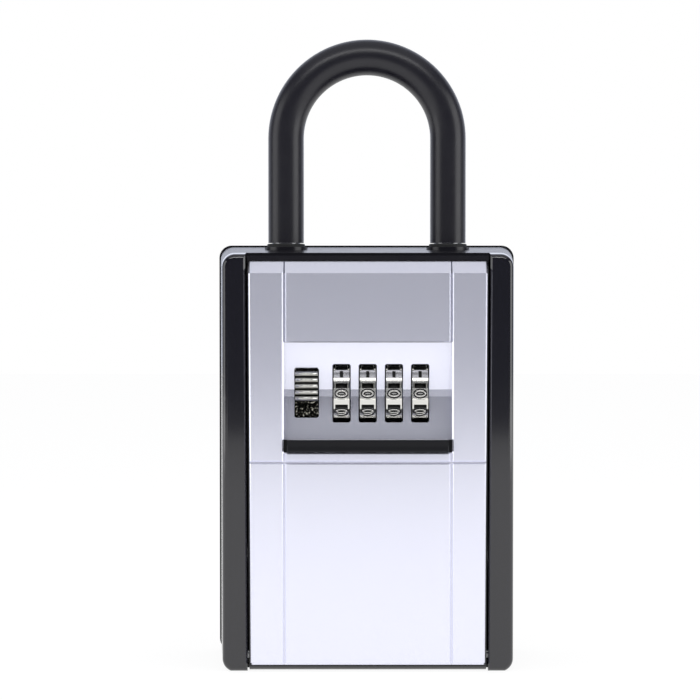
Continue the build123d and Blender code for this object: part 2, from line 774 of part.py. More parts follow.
def make_setter():
    # a shouldered slide: flange inside the cover, neck in its slot, knob outside
    top = cover_back_y + setter_proud
    setter = upright(setter_block(setter_flange, 0), latch_y, case_back_y - slide_gap)
    setter += upright(setter_block(setter_neck, 0), latch_y, top)
    return setter + upright(setter_block(setter_knob, 0), cover_back_y + knob_gap, top)


def make_latch():
    # the fence: one toothed finger for each code disc, and the arm that reaches the keeper
    mid = wheel_z + lever_travel / 2
    outline = soft_oblong(lever_x - latch_end, wheels_right + finger_gap, wheel_z - latch_height / 2,
                          wheel_z + latch_height / 2, slot_corner)
    back = latch_y + latch_thickness
    plate = upright(outline, latch_y, back)
    root = oblong(wheel_y + disc_radius + 2 * finger_gap, latch_y + latch_thickness / 2,
                  mid - finger_height / 2, mid + finger_height / 2)
    tooth = oblong(wheel_y + tooth_reach, latch_y, mid - tooth_height / 2, mid + tooth_height / 2)
    for x in wheel_xs:
        left = x + wheel_width / 2 + finger_gap
        plate += across(root + tooth, left, left + disc_thickness - finger_gap)
    arm_high, nose_z = arm_low + arm_thickness, keeper_top + nose_gap
    arm = Polygon((latch_y, wheel_z), (latch_y, arm_high), (nose_back_y, arm_high),
                  (nose_back_y, nose_z), (nose_front_y, nose_z), (nose_front_y, arm_low), (back, arm_low),
                  (back, wheel_z), align=None)
    return plate + across(arm, -arm_half, arm_half)


def make_lever():
    # a ribbed button on a base that keeps its slot filled, with a shank to the latch
    slot_low = lever_slot_z - lever_slot_height / 2
    low = slot_low + lever_travel + side_gap
    base_half = lever_slot_width / 2 + base_overlap
    base = soft_oblong(lever_x - base_half, lever_x + base_half, slot_low - base_overlap,
                       slot_low + lever_slot_height + lever_travel + base_overlap, slot_corner)
    lever = upright(base, base_y, base_y + base_thickness)
    pitch = button_height / rib_count
    crest, root = button_y, button_y + rib_depth
    seat = base_y + base_thickness / 2
    side = [(seat, low + button_height), (seat, low), (root, low)]
    for i in range(rib_count):
        z = low + i * pitch
        side += [(crest, z + 0.35 * pitch), (crest, z + 0.65 * pitch), (root, z + pitch)]
    lever += across(Polygon(*side, align=None), lever_x - button_width / 2, lever_x + button_width / 2)
    shank = soft_oblong(lever_x - shank_half, lever_x + shank_half, wheel_z + shank_low,
                        wheel_z + shank_low + shank_height, slot_corner)
    return lever + upright(shank, seat, latch_y)


save("housing", make_housing())
save("cheek_left", make_cheek(-1))
save("cheek_right", make_cheek(1))
save("hinge_pins", make_hinge_pins())
save("keeper", make_keeper())
save("keeper_screws", Compound(children=keeper_screws()))
save("shackle_core", make_shackle_core())
save("shackle_sleeve", make_shackle_sleeve())
save("stop_pin", make_stop_pin())
save("grommet_left", make_grommet(leg_xs[0]))
save("grommet_right", make_grommet(leg_xs[1]))
save("lock_bar", make_lock_bar())
save("lock_cover", make_lock_cover())
save("lock_screws", Compound(children=lock_screws()))
save("door_frame", make_door_frame())
save("face_plate", make_face_plate())
save("dial_bezel", make_bezel())
save("lock_case", make_case())
save("lock_case_cover", make_cover())
save("case_screws", Compound(children=cover_screws()))
save("wheel_shaft", make_shaft())
save("shaft_clips", make_shaft_clips())
save("detent_comb", make_comb())
save("shutter_sheet", make_shutter_sheet())
save("shutter_lip", make_shutter_lip())
for i, wheel_x in enumerate(wheel_xs, start=1):
    save(f"number_wheel_{i}", make_wheel(wheel_x))
    save(f"code_disc_{i}", make_disc(wheel_x))
save("opening_lever", make_lever())
save("latch_plate", make_latch())
save("code_setter", make_setter())
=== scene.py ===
import bpy
import math
import numpy as np
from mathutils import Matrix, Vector


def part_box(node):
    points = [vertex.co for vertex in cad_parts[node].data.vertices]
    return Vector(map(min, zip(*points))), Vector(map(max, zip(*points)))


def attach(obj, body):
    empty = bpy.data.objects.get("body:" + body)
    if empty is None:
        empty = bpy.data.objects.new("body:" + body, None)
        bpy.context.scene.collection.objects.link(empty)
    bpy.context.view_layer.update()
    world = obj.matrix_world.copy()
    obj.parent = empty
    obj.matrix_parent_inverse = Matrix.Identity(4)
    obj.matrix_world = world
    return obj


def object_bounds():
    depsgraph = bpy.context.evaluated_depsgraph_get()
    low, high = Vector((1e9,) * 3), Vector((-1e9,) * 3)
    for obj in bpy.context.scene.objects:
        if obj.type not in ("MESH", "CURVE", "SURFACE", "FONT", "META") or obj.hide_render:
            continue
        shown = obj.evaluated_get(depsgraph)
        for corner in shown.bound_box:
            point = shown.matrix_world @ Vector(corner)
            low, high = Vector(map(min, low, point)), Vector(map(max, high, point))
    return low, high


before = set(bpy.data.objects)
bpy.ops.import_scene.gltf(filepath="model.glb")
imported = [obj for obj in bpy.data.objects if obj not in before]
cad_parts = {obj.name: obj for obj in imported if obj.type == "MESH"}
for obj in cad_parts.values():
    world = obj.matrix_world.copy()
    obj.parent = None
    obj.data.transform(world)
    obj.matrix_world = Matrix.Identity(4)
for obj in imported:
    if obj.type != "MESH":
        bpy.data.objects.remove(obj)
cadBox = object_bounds()
mmPerMetre = 1000
wheelNumbers = range(1, 5)
print("stage 1: frame loaded,", len(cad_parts), "CAD nodes")


def linear(hexColour):
    # sRGB hex to linear RGBA: the standard curve, channel by channel
    channels = [int(hexColour[i:i + 2], 16) / 255 for i in (1, 3, 5)]
    return [c / 12.92 if c <= 0.04045 else ((c + 0.055) / 1.055) ** 2.4 for c in channels] + [1.0]


def addNode(material, kind, settings=None, links=None):
    # one node; settings go to its properties or sockets, links are input name to output socket
    node = material.node_tree.nodes.new(kind)
    for name, value in (settings or {}).items():
        if name in node.inputs:
            node.inputs[name].default_value = value
        else:
            setattr(node, name, value)
    for name, source in (links or {}).items():
        material.node_tree.links.new(source, node.inputs[name])
    return node


def startMaterial(name, colour, metallic, roughness, **more):
    # a Principled material; further sockets are named with _ for a space
    material = bpy.data.materials.new(name)
    material.use_nodes = True
    shader = material.node_tree.nodes["Principled BSDF"]
    shader.inputs["Base Color"].default_value = linear(colour)
    shader.inputs["Metallic"].default_value = metallic
    shader.inputs["Roughness"].default_value = roughness
    for socket, value in more.items():
        shader.inputs[socket.replace("_", " ")].default_value = value
    return material, shader


def objectNoise(material, sizeMm, detail=2.0, roughness=0.5, stretch=(1, 1, 1)):
    # noise on object coordinates with features of about sizeMm
    place = addNode(material, "ShaderNodeTexCoord")
    mapping = addNode(material, "ShaderNodeMapping", {"Scale": stretch}, {"Vector": place.outputs["Object"]})
    settings = {"Scale": mmPerMetre / sizeMm, "Detail": detail, "Roughness": roughness}
    return addNode(material, "ShaderNodeTexNoise", settings, {"Vector": mapping.outputs["Vector"]})


def roughnessFrom(material, shader, noise, low, high):
    # the roughness wanders between two values with the noise
    span = addNode(material, "ShaderNodeMapRange", {"To Min": low, "To Max": high},
                   {"Value": noise.outputs["Fac"]})
    material.node_tree.links.new(span.outputs["Result"], shader.inputs["Roughness"])


def bumpFrom(material, shader, noise, heightMm, strength=1.0):
    # grain too fine for geometry: the noise tilts the surface's normal
    bump = addNode(material, "ShaderNodeBump", {"Distance": heightMm / mmPerMetre, "Strength": strength},
                   {"Height": noise.outputs["Fac"]})
    material.node_tree.links.new(bump.outputs["Normal"], shader.inputs["Normal"])


def colourFrom(material, shader, noise, low, high, centre, width):
    # the colour drifts between two values where the noise passes its middle
    ramp = addNode(material, "ShaderNodeValToRGB", {}, {"Fac": noise.outputs["Fac"]})
    ramp.color_ramp.elements[0].position = centre - width / 2
    ramp.color_ramp.elements[1].position = centre + width / 2
    ramp.color_ramp.elements[0].color = linear(low)
    ramp.color_ramp.elements[1].color = linear(high)
    material.node_tree.links.new(ramp.outputs["Color"], shader.inputs["Base Color"])


seamShadeValues = {    # metres
    "besideLip": 0.0010, "halfWidth": 0.00024, "bendHeight": 0.0041, "colour": "#787A8C"}


def bentSeamShade(material, shader):
    # the plate's two upright seams run on over its bent-back top as fine dark lines: painted shade where the
    # groove's notch runs over the bend
    v = seamShadeValues
    seam = float(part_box("shutter_lip")[1][0]) + v["besideLip"]
    bend = float(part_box("face_plate")[1][2]) - v["bendHeight"]
    place = addNode(material, "ShaderNodeTexCoord")
    split = addNode(material, "ShaderNodeSeparateXYZ", {}, {"Vector": place.outputs["Object"]})
    side = addNode(material, "ShaderNodeMath", {"operation": "ABSOLUTE"}, {0: split.outputs["X"]})
    near = addNode(material, "ShaderNodeMath", {"operation": "COMPARE"}, {0: side.outputs[0]})
    near.inputs[1].default_value, near.inputs[2].default_value = seam, v["halfWidth"]
    above = addNode(material, "ShaderNodeMath", {"operation": "GREATER_THAN"}, {0: split.outputs["Z"]})
    above.inputs[1].default_value = bend
    mask = addNode(material, "ShaderNodeMath", {"operation": "MULTIPLY"},
                   {0: near.outputs[0], 1: above.outputs[0]})
    paint = shader.inputs["Base Color"].links[0].from_socket
    colour = addNode(material, "ShaderNodeMix", {"data_type": "RGBA"}, {"Factor": mask.outputs[0]})
    material.node_tree.links.new(paint, colour.inputs["A"])
    # painted shade of the seam groove, on the bend only
    colour.inputs["B"].default_value = linear(v["colour"])
    material.node_tree.links.new(colour.outputs["Result"], shader.inputs["Base Color"])


silverValues = {"colour": "#EFF0FF", "flakeLow": "#E8E9FB", "flakeHigh": "#F3F4FF", "metallic": 0.77,
                "roughness": 0.22, "roughnessSpan": (0.16, 0.21), "flakeMm": 0.22, "flakeDetail": 2.0,
                "flakeContrast": 0.6, "flakeMiddle": 0.5, "flakeSpread": 0.4, "peelMm": 2.4,
                "peelDetail": 1.0, "peelHeightMm": 0.003, "peelStrength": 0.6}


def silverFlakePaint():
    # metallic lacquer over a casting: fine aluminium flakes give a soft sheen with a faint sparkle
    v = silverValues
    material, shader = startMaterial("silver_flake_lacquer", v["colour"], v["metallic"], v["roughness"])
    flakes = objectNoise(material, v["flakeMm"], v["flakeDetail"], v["flakeContrast"])
    colourFrom(material, shader, flakes, v["flakeLow"], v["flakeHigh"], v["flakeMiddle"], v["flakeSpread"])
    bentSeamShade(material, shader)
    roughnessFrom(material, shader, flakes, *v["roughnessSpan"])
    peel = objectNoise(material, v["peelMm"], v["peelDetail"])
    bumpFrom(material, shader, peel, v["peelHeightMm"], v["peelStrength"])
    return material


absValues = {"colour": "#0B0A12", "roughness": 0.10, "roughnessSpan": (0.07, 0.14), "ior": 1.54, "coat": 0.7,
             "coatRoughness": 0.06, "hazeMm": 9.0, "hazeDetail": 3.0, "waveMm": 5.0, "waveDetail": 1.0,
             "waveHeightMm": 0.003, "waveStrength": 0.5}


def polishedBlackAbs():
    # injection-moulded ABS from a polished mould, under a clear coat: deep black with clear reflections
    v = absValues
    material, shader = startMaterial("polished_black_abs", v["colour"], 0.0, v["roughness"], IOR=v["ior"],
                                     Coat_Weight=v["coat"], Coat_Roughness=v["coatRoughness"])
    roughnessFrom(material, shader, objectNoise(material, v["hazeMm"], v["hazeDetail"]), *v["roughnessSpan"])
    wave = objectNoise(material, v["waveMm"], v["waveDetail"])
    bumpFrom(material, shader, wave, v["waveHeightMm"], v["waveStrength"])
    return material


coatValues = {"colour": "#0E0D14", "roughness": 0.25, "roughnessSpan": (0.2, 0.3), "ior": 1.5,
              "mottleMm": 6.0, "peelMm": 1.4, "peelDetail": 1.0, "peelHeightMm": 0.004, "peelStrength": 0.5}


def blackStovedCoat():
    # stoved black coat on die-cast zinc: smooth and fairly glossy, with a faint orange peel
    v = coatValues
    material, shader = startMaterial("black_stoved_coat", v["colour"], 0.0, v["roughness"], IOR=v["ior"])
    peel = objectNoise(material, v["peelMm"], v["peelDetail"])
    bumpFrom(material, shader, peel, v["peelHeightMm"], v["peelStrength"])
    roughnessFrom(material, shader, objectNoise(material, v["mottleMm"]), *v["roughnessSpan"])
    return material


sleeveValues = {"colour": "#12111A", "roughness": 0.32, "roughnessSpan": (0.26, 0.38), "ior": 1.52,
                "mottleMm": 5.0, "mottleDetail": 3.0, "lineMm": 0.8, "lineStretch": (1, 1, 0.05),
                "lineHeightMm": 0.003, "lineStrength": 0.5}


def blackVinylSleeve():
    # extruded soft PVC over the steel: satin black with soft long highlights and faint upright draw lines
    v = sleeveValues
    material, shader = startMaterial("black_pvc_sleeve", v["colour"], 0.0, v["roughness"], IOR=v["ior"])
    lines = objectNoise(material, v["lineMm"], stretch=v["lineStretch"])
    bumpFrom(material, shader, lines, v["lineHeightMm"], v["lineStrength"])
    mottle = objectNoise(material, v["mottleMm"], v["mottleDetail"])
    roughnessFrom(material, shader, mottle, *v["roughnessSpan"])
    return material


rubberValues = {"colour": "#18181A", "roughness": 0.62, "ior": 1.5, "grainMm": 0.4, "grainHeightMm": 0.01,
                "grainStrength": 0.6}


def blackRubber():
    # moulded rubber with a fine mould grain: dull dark grey, with no clear highlight
    v = rubberValues
    material, shader = startMaterial("moulded_black_rubber", v["colour"], 0.0, v["roughness"], IOR=v["ior"])
    bumpFrom(material, shader, objectNoise(material, v["grainMm"]), v["grainHeightMm"], v["grainStrength"])
    return material


nickelValues = {"colour": "#E2E1DD", "roughness": 0.18, "roughnessSpan": (0.12, 0.26), "waveMm": 0.9,
                "waveDetail": 3.0, "waveHeightMm": 0.004, "waveStrength": 0.8}


def polishedNickel():
    # plated and tumbled zinc: mirror-like, a little uneven, slightly warm
    v = nickelValues
    material, shader = startMaterial("polished_nickel_plate", v["colour"], 1.0, v["roughness"])
    roughnessFrom(material, shader, objectNoise(material, v["waveMm"], v["waveDetail"]), *v["roughnessSpan"])
    bumpFrom(material, shader, objectNoise(material, v["waveMm"]), v["waveHeightMm"], v["waveStrength"])
    return material


leverValues = {"colour": "#D8D6D0", "roughness": 0.16, "baseDepthMm": 0.6, "gritMm": 0.75, "gritDetail": 3.0,
               "gritContrast": 0.7, "gritHeightMm": 0.06, "gritStrength": 1.0, "gritShade": "#0D0C0B",
               "gritGlint": "#E6E2D4", "speckFrom": 0.56, "speckTo": 0.66, "crest": "#F1F0EC",
               "groove": "#1B1A19", "grooveDepthMm": 0.62, "crestEnds": 0.35, "grooveStarts": 0.85}


def castNickelLever():
    # the lever's button is polished on its ribs, with its crests painted lighter as painted highlight and its
    # grooves painted near black as painted shade; its base keeps the cast grain, painted dark as shade with
    # bright specks as painted glints
    v = leverValues
    material, shader = startMaterial("plated_lever_casting", v["colour"], 1.0, v["roughness"])
    place = addNode(material, "ShaderNodeTexCoord")
    split = addNode(material, "ShaderNodeSeparateXYZ", {}, {"Vector": place.outputs["Object"]})
    # the base starts just in front of the bezel's back
    edge = float(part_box("dial_bezel")[1][1]) - v["baseDepthMm"] / mmPerMetre
    base = addNode(material, "ShaderNodeMath", {"operation": "GREATER_THAN"}, {0: split.outputs["Y"]})
    base.inputs[1].default_value = edge
    # the base's grain is coloured near black as painted shade, with bright specks as painted glints
    grit = objectNoise(material, v["gritMm"], v["gritDetail"], v["gritContrast"])
    grainShadeAndGlint = addNode(material, "ShaderNodeValToRGB", {}, {"Fac": grit.outputs["Fac"]})
    dark, bright = grainShadeAndGlint.color_ramp.elements
    dark.position, bright.position = v["speckFrom"], v["speckTo"]
    dark.color, bright.color = linear(v["gritShade"]), linear(v["gritGlint"])
    # by depth behind the button's front: the crests get a lighter colour as painted highlight, the grooves a
    # near-black one as painted shade
    front = float(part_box("opening_lever")[0][1])
    grooveFloor = front + v["grooveDepthMm"] / mmPerMetre
    depth = addNode(material, "ShaderNodeMapRange", {"From Min": front, "From Max": grooveFloor},
                    {"Value": split.outputs["Y"]})
    crestLightGrooveShade = addNode(material, "ShaderNodeValToRGB", {}, {"Fac": depth.outputs["Result"]})
    crest, groove = crestLightGrooveShade.color_ramp.elements
    crest.position, groove.position = v["crestEnds"], v["grooveStarts"]
    crest.color, groove.color = linear(v["crest"]), linear(v["groove"])
    colour = addNode(material, "ShaderNodeMix", {"data_type": "RGBA"}, {"Factor": base.outputs[0]})
    material.node_tree.links.new(crestLightGrooveShade.outputs["Color"], colour.inputs["A"])
    material.node_tree.links.new(grainShadeAndGlint.outputs["Color"], colour.inputs["B"])
    material.node_tree.links.new(colour.outputs["Result"], shader.inputs["Base Color"])
    height = addNode(material, "ShaderNodeMath", {"operation": "MULTIPLY"},
                     {0: grit.outputs["Fac"], 1: base.outputs[0]})
    relief = {"Distance": v["gritHeightMm"] / mmPerMetre, "Strength": v["gritStrength"]}
    bump = addNode(material, "ShaderNodeBump", relief, {"Height": height.outputs[0]})
    material.node_tree.links.new(bump.outputs["Normal"], shader.inputs["Normal"])
    return material


nylonValues = {"colour": "#0A0B10", "roughness": 0.4, "roughnessSpan": (0.34, 0.46), "ior": 1.5,
               "specular": 0.25, "mottleMm": 3.0}


def satinBlackNylon():
    # moulded nylon slide: dark and a little blue, with a dull sheen
    v = nylonValues
    material, shader = startMaterial("satin_black_nylon", v["colour"], 0.0, v["roughness"], IOR=v["ior"],
                                     Specular_IOR_Level=v["specular"])
    roughnessFrom(material, shader, objectNoise(material, v["mottleMm"]), *v["roughnessSpan"])
    return material


metalValues = {    # colour and roughness span of each inner metal, and the grain that they share
    "bright_zinc_plate": ("#B9BBBE", 0.28, 0.45),
    "ground_steel": ("#9B9C9E", 0.2, 0.34),
    "blued_spring_steel": ("#4A4E5C", 0.25, 0.4),
    "turned_brass": ("#C9A35A", 0.2, 0.35),
    "raw_zinc_casting": ("#7F8184", 0.45, 0.6),
    "roughness": 0.3, "grainMm": 0.25, "grainDetail": 3.0, "grainContrast": 0.6, "grainStretch": (0.05, 1, 1),
    "grainHeightMm": 0.004, "grainStrength": 0.6,
}


def grainedMetal(name):
    # bare or plated metal with a fine grain along X: soft streaked reflections
    v = metalValues
    colour, low, high = v[name]
    material, shader = startMaterial(name, colour, 1.0, v["roughness"])
    grain = objectNoise(material, v["grainMm"], v["grainDetail"], v["grainContrast"], v["grainStretch"])
    roughnessFrom(material, shader, grain, low, high)
    bumpFrom(material, shader, grain, v["grainHeightMm"], v["grainStrength"])
    return material


enamelValues = {"colour": "#050505", "roughness": 0.5, "ior": 1.5, "specular": 0.3, "grainMm": 0.3,
                "grainHeightMm": 0.006}


def numeralEnamel():
    # black enamel wiped round the raised digits, and the black sheet laid on each wheel's pocket slope: very
    # dark and satin
    v = enamelValues
    material, shader = startMaterial("black_numeral_enamel", v["colour"], 0.0, v["roughness"], IOR=v["ior"],
                                     Specular_IOR_Level=v["specular"])
    bumpFrom(material, shader, objectNoise(material, v["grainMm"]), v["grainHeightMm"])
    return material


finishes = {
    "silver": silverFlakePaint(),
    "abs": polishedBlackAbs(),
    "coat": blackStovedCoat(),
    "vinyl": blackVinylSleeve(),
    "rubber": blackRubber(),
    "nylon": satinBlackNylon(),
    "nickel": polishedNickel(),
    "lever": castNickelLever(),
    "zinc": grainedMetal("bright_zinc_plate"),
    "steel": grainedMetal("ground_steel"),
    "spring": grainedMetal("blued_spring_steel"),
    "brass": grainedMetal("turned_brass"),
    "casting": grainedMetal("raw_zinc_casting"),
    "enamel": numeralEnamel(),
}
nodeFinish = {
    "housing": "coat", "cheek_left": "abs", "cheek_right": "abs", "hinge_pins": "steel", "keeper": "zinc",
    "keeper_screws": "steel", "shackle_core": "steel", "shackle_sleeve": "vinyl", "stop_pin": "steel",
    "grommet_left": "rubber", "grommet_right": "rubber", "lock_bar": "zinc", "lock_cover": "zinc",
    "lock_screws": "steel",
    "door_frame": "coat", "face_plate": "silver", "dial_bezel": "silver", "lock_case": "casting",
    "lock_case_cover": "zinc", "case_screws": "steel", "wheel_shaft": "steel", "shaft_clips": "spring",
    "detent_comb": "spring", "shutter_sheet": "nylon", "shutter_lip": "nylon", "opening_lever": "lever",
    "latch_plate": "zinc", "code_setter": "brass",
}
for wheel in wheelNumbers:
    nodeFinish[f"number_wheel_{wheel}"] = "nickel"
    nodeFinish[f"code_disc_{wheel}"] = "spring"
for nodeName, finishName in nodeFinish.items():
    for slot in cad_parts[nodeName].material_slots:
        slot.material = finishes[finishName]
print("stage 2: finishes on the CAD nodes")


def ownMesh(name, points, faces, finish, body):
    # a smooth mesh from arrays, with its place in its vertices, riding on a CAD body
    mesh = bpy.data.meshes.new(name)
    mesh.from_pydata(points.tolist(), [], faces)
    mesh.update()
    piece = bpy.data.objects.new(name, mesh)
    bpy.context.scene.collection.objects.link(piece)
    mesh.materials.append(finishes[finish])
    mesh.polygons.foreach_set("use_smooth", [True] * len(mesh.polygons))
    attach(piece, body)
    return piece


numeralValues = {    # millimetres and degrees
                 "digitTurn": 36.0, "landDepth": 0.6, "landAngle": 18.0, "pocketStart": 18.8,
                 "pocketEnd": 26.2,
                 "pocketDepth": 1.5, "pocketWall": 0.62, "fillWidth": 1.4, "fillRise": 0.035,
                 "ridgeWidth": 0.55, "ridgeRise": 0.14, "barWidth": 1.1, "widen": 1.28}
ribbonValues = {"arcPoints": 33, "barPoints": 5, "pointsAcross": 7, "edgeFall": 0.8, "footDepth": 0.05}
# each digit as strokes on its land: an arc is centre, radii, first and last angle; a bar is its two ends
digitStrokes = {
    0: [("arc", 0, 0, 1.35, 0.95, 0, 360)],
    1: [("bar", 0, -1.3, 0, 1.3)],
    2: [("arc", 0, 0.45, 1.3, 0.6, 170, -50), ("bar", 0.85, 0, -1.3, -1.05),
        ("bar", -1.3, -1.05, 1.35, -1.05)],
    3: [("arc", 0, 0.52, 1.2, 0.52, 150, -90), ("arc", 0, -0.52, 1.3, 0.52, 90, -150)],
    4: [("bar", 0.5, -1.1, 0.5, 1.1), ("bar", 0.5, 1.1, -1.35, -0.4), ("bar", -1.35, -0.4, 1.35, -0.4)],
    5: [("bar", 1.2, 1.05, -1.1, 1.05), ("bar", -1.1, 1.05, -1.1, 0.15),
        ("arc", 0, -0.4, 1.35, 0.65, 140, -150)],
    6: [("arc", 0.1, 0, 1.45, 1.05, 50, 190), ("arc", 0, -0.4, 1.35, 0.65, 0, 360)],
    7: [("bar", -1.35, 1.05, 1.35, 1.05), ("bar", 1.35, 1.05, -0.4, -1.05)],
    8: [("arc", 0, 0.52, 1.05, 0.52, 0, 360), ("arc", 0, -0.48, 1.35, 0.57, 0, 360)],
    9: [("arc", 0, 0.4, 1.35, 0.65, 0, 360), ("arc", -0.1, 0, 1.45, 1.05, 10, -130)],
}


def strokePath(kind, *numbers):
    # points along a stroke: centre plus radii times cosine and sine, or a straight run between two ends
    if kind == "arc":
        x, y, rx, ry, first, last = numbers
        turn = np.radians(np.linspace(first, last, ribbonValues["arcPoints"]))
        return np.stack([x + rx * np.cos(turn), y + ry * np.sin(turn)], axis=1)
    x0, y0, x1, y1 = numbers
    run = np.linspace(0, 1, ribbonValues["barPoints"])[:, None]
    return np.array([[x0, y0]]) * (1 - run) + np.array([[x1, y1]]) * run


def ribbon(path, width, rise):
    # a low arch carried along a path: half the width to each side, its height falling as the side's square,
    # closed by a flat foot just under the surface and a cap at each end
    v = ribbonValues
    along = np.gradient(path, axis=0)
    along /= np.linalg.norm(along, axis=1)[:, None]
    side = np.stack([-along[:, 1], along[:, 0]], axis=1)
    share = np.linspace(-1, 1, v["pointsAcross"])
    flat = path[:, None, :] + side[:, None, :] * share[None, :, None] * width / 2
    height = np.broadcast_to(rise * (1 - v["edgeFall"] * share ** 2), flat.shape[:2])
    top = np.concatenate([flat, height[:, :, None]], axis=2)
    foot = np.concatenate([flat[:, [-1, 0]], np.full((len(path), 2, 1), -v["footDepth"])], axis=2)
    ring = np.concatenate([top, foot], axis=1)
    rows, columns = ring.shape[:2]
    index = np.arange(rows * columns).reshape(rows, columns)
    after = np.roll(index, -1, axis=1)
    # corners run so that every face points outwards
    quads = np.stack([index[:-1], index[1:], after[1:], after[:-1]], axis=-1).reshape(-1, 4).tolist()
    return ring.reshape(-1, 3), quads + [index[0].tolist(), index[-1, ::-1].tolist()]


def onPlane(points, origin, out, up):
    # letter coordinates to the wheel: u across it, v up the surface, w outwards; millimetres to metres
    moved = points[:, :1] * [1, 0, 0] + points[:, 1:2] * up + points[:, 2:3] * out
    return np.array(origin) + moved / mmPerMetre


def gather(parts):
    # several meshes as one: each one's faces count on from the points before it
    points, faces, count = [], [], 0
    for partPoints, partFaces in parts:
        points.append(partPoints)
        faces += [[corner + count for corner in face] for face in partFaces]
        count += len(partPoints)
    return np.concatenate(points), faces


def around(angle, radius, axis):
    # a point of the wheel at an angle above the forward direction
    return np.array(axis) + radius / mmPerMetre * np.array([0, -math.cos(angle), math.sin(angle)])


def makeNumerals(wheel):
    # paint in the digits, a black sheet on each pocket's slope, and the bright core of each stroke
    v = numeralValues
    low, high = (np.array(corner, dtype=float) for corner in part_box(f"number_wheel_{wheel}"))
    axis, radius = (low + high) / 2, (high[2] - low[2]) / 2 * mmPerMetre
    reach = (radius - v["landDepth"]) * math.cos(math.radians(v["landAngle"] / 2))
    half = (high[0] - low[0]) / 2 * mmPerMetre - v["pocketWall"]
    paint, cores = [], []
    for digit, strokes in digitStrokes.items():
        angle = math.radians(v["digitTurn"] * digit)
        out = np.array([0, -math.cos(angle), math.sin(angle)])
        up = np.array([0, math.sin(angle), math.cos(angle)])
        land = around(angle, reach, axis)
        for stroke in strokes:
            path = strokePath(*stroke) * [v["widen"], 1]
            single = digit == 1     # the bar of the 1 is all paint
            points, faces = ribbon(path, v["barWidth"] if single else v["fillWidth"], v["fillRise"])
            paint.append((onPlane(points, land, out, up), faces))
            if not single:
                points, faces = ribbon(path, v["ridgeWidth"], v["ridgeRise"])
                cores.append((onPlane(points, land, out, up), faces))
        # a black sheet on the pocket's slope between this digit and the next, darkening it
        deep = around(angle - math.radians(v["pocketStart"]), radius - v["pocketDepth"], axis)
        edge = around(angle - math.radians(v["pocketEnd"]), radius - v["landDepth"], axis)
        slope = (deep - edge) / np.linalg.norm(deep - edge)
        normal = np.array([0, -slope[2], slope[1]])
        length = np.linalg.norm(deep - edge) * mmPerMetre
        points, faces = ribbon(np.array([[-half, 0], [0, 0], [half, 0]], dtype=float), length, v["fillRise"])
        paint.append((onPlane(points, (deep + edge) / 2, normal, slope), faces))
    layers = (("paint", paint, "enamel", "gloss_black"), ("core", cores, "nickel", "nickel"))
    for name, parts, finish, slot in layers:
        piece = ownMesh(f"wheel_{wheel}_digit_{name}", *gather(parts), finish, f"wheel_{wheel}")


for wheel in wheelNumbers:
    makeNumerals(wheel)


leverRibValues = {"ribs": 5, "pitch": 2.12, "foot": 6.65, "half": 3.65, "width": 0.7, "rise": 0.18}    # mm


def makeLeverRibs():
    # the crests of the button are worn round and bright: one bead along each
    v = leverRibValues
    low, high = (np.array(corner, dtype=float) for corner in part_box("opening_lever"))
    path = np.array([[-v["half"], 0], [0, 0], [v["half"], 0]])
    beads = []
    for rib in range(v["ribs"]):
        points, faces = ribbon(path, v["width"], v["rise"])
        height = low[2] + (v["foot"] + (rib + 0.5) * v["pitch"]) / mmPerMetre
        place = ((low[0] + high[0]) / 2, low[1], height)
        beads.append((onPlane(points, place, np.array([0, -1, 0]), np.array([0, 0, 1])), faces))
    piece = ownMesh("lever_rib_crests", *gather(beads), "nickel", "lever")


makeLeverRibs()
print("stage 3: digits on the wheels and crests on the lever")

studioValues = {"floorColour": "#FDFDFF", "floorRoughness": 0.9, "floorSize": 4.0, "floorShare": 0.9,
                "floorFront": -1.3, "fill": 0.92, "tint": (0.91, 0.95, 1.09), "backdrop": 1.0,
                "backdropFrom": 0.3, "backdropTo": 0.75,
                # brightness by elevation in degrees, for what the glossy surfaces see in front
                "front": ((-90, 1.0), (-14, 0.9), (-9, 0.16), (12, 0.10), (36, 0.08), (50, 0.16), (68, 0.12),
                          (90, 0.16))}


def makeFloor():
    # matt pale paper that takes the shadow, and looks white to the camera and in reflections
    v = studioValues
    half = v["floorSize"] / 2
    mesh = bpy.data.meshes.new("floor")
    front, back = v["floorFront"], v["floorFront"] + v["floorSize"]
    corners = [(-half, front, 0), (half, front, 0), (half, back, 0), (-half, back, 0)]
    mesh.from_pydata(corners, [], [(0, 1, 2, 3)])
    floor = bpy.data.objects.new("floor", mesh)
    bpy.context.scene.collection.objects.link(floor)
    material = bpy.data.materials.new("pale_paper_floor")
    material.use_nodes = True
    tree = material.node_tree
    shader = tree.nodes["Principled BSDF"]
    shader.inputs["Base Color"].default_value = linear(v["floorColour"])
    shader.inputs["Roughness"].default_value = v["floorRoughness"]
    glow = addNode(material, "ShaderNodeEmission", {"Color": (1, 1, 1, 1), "Strength": 1.0})
    ray = addNode(material, "ShaderNodeLightPath")
    seen = addNode(material, "ShaderNodeMath", {"operation": "MAXIMUM"},
                   {0: ray.outputs["Is Camera Ray"], 1: ray.outputs["Is Glossy Ray"]})
    also = addNode(material, "ShaderNodeMath", {"operation": "MAXIMUM"},
                   {0: seen.outputs[0], 1: ray.outputs["Is Transmission Ray"]})
    share = addNode(material, "ShaderNodeMath", {"operation": "MULTIPLY"}, {0: also.outputs[0]})
    share.inputs[1].default_value = v["floorShare"]
    mix = addNode(material, "ShaderNodeMixShader", {},
                  {0: share.outputs[0], 1: shader.outputs[0], 2: glow.outputs[0]})
    tree.links.new(mix.outputs[0], tree.nodes["Material Output"].inputs["Surface"])
    mesh.materials.append(material)


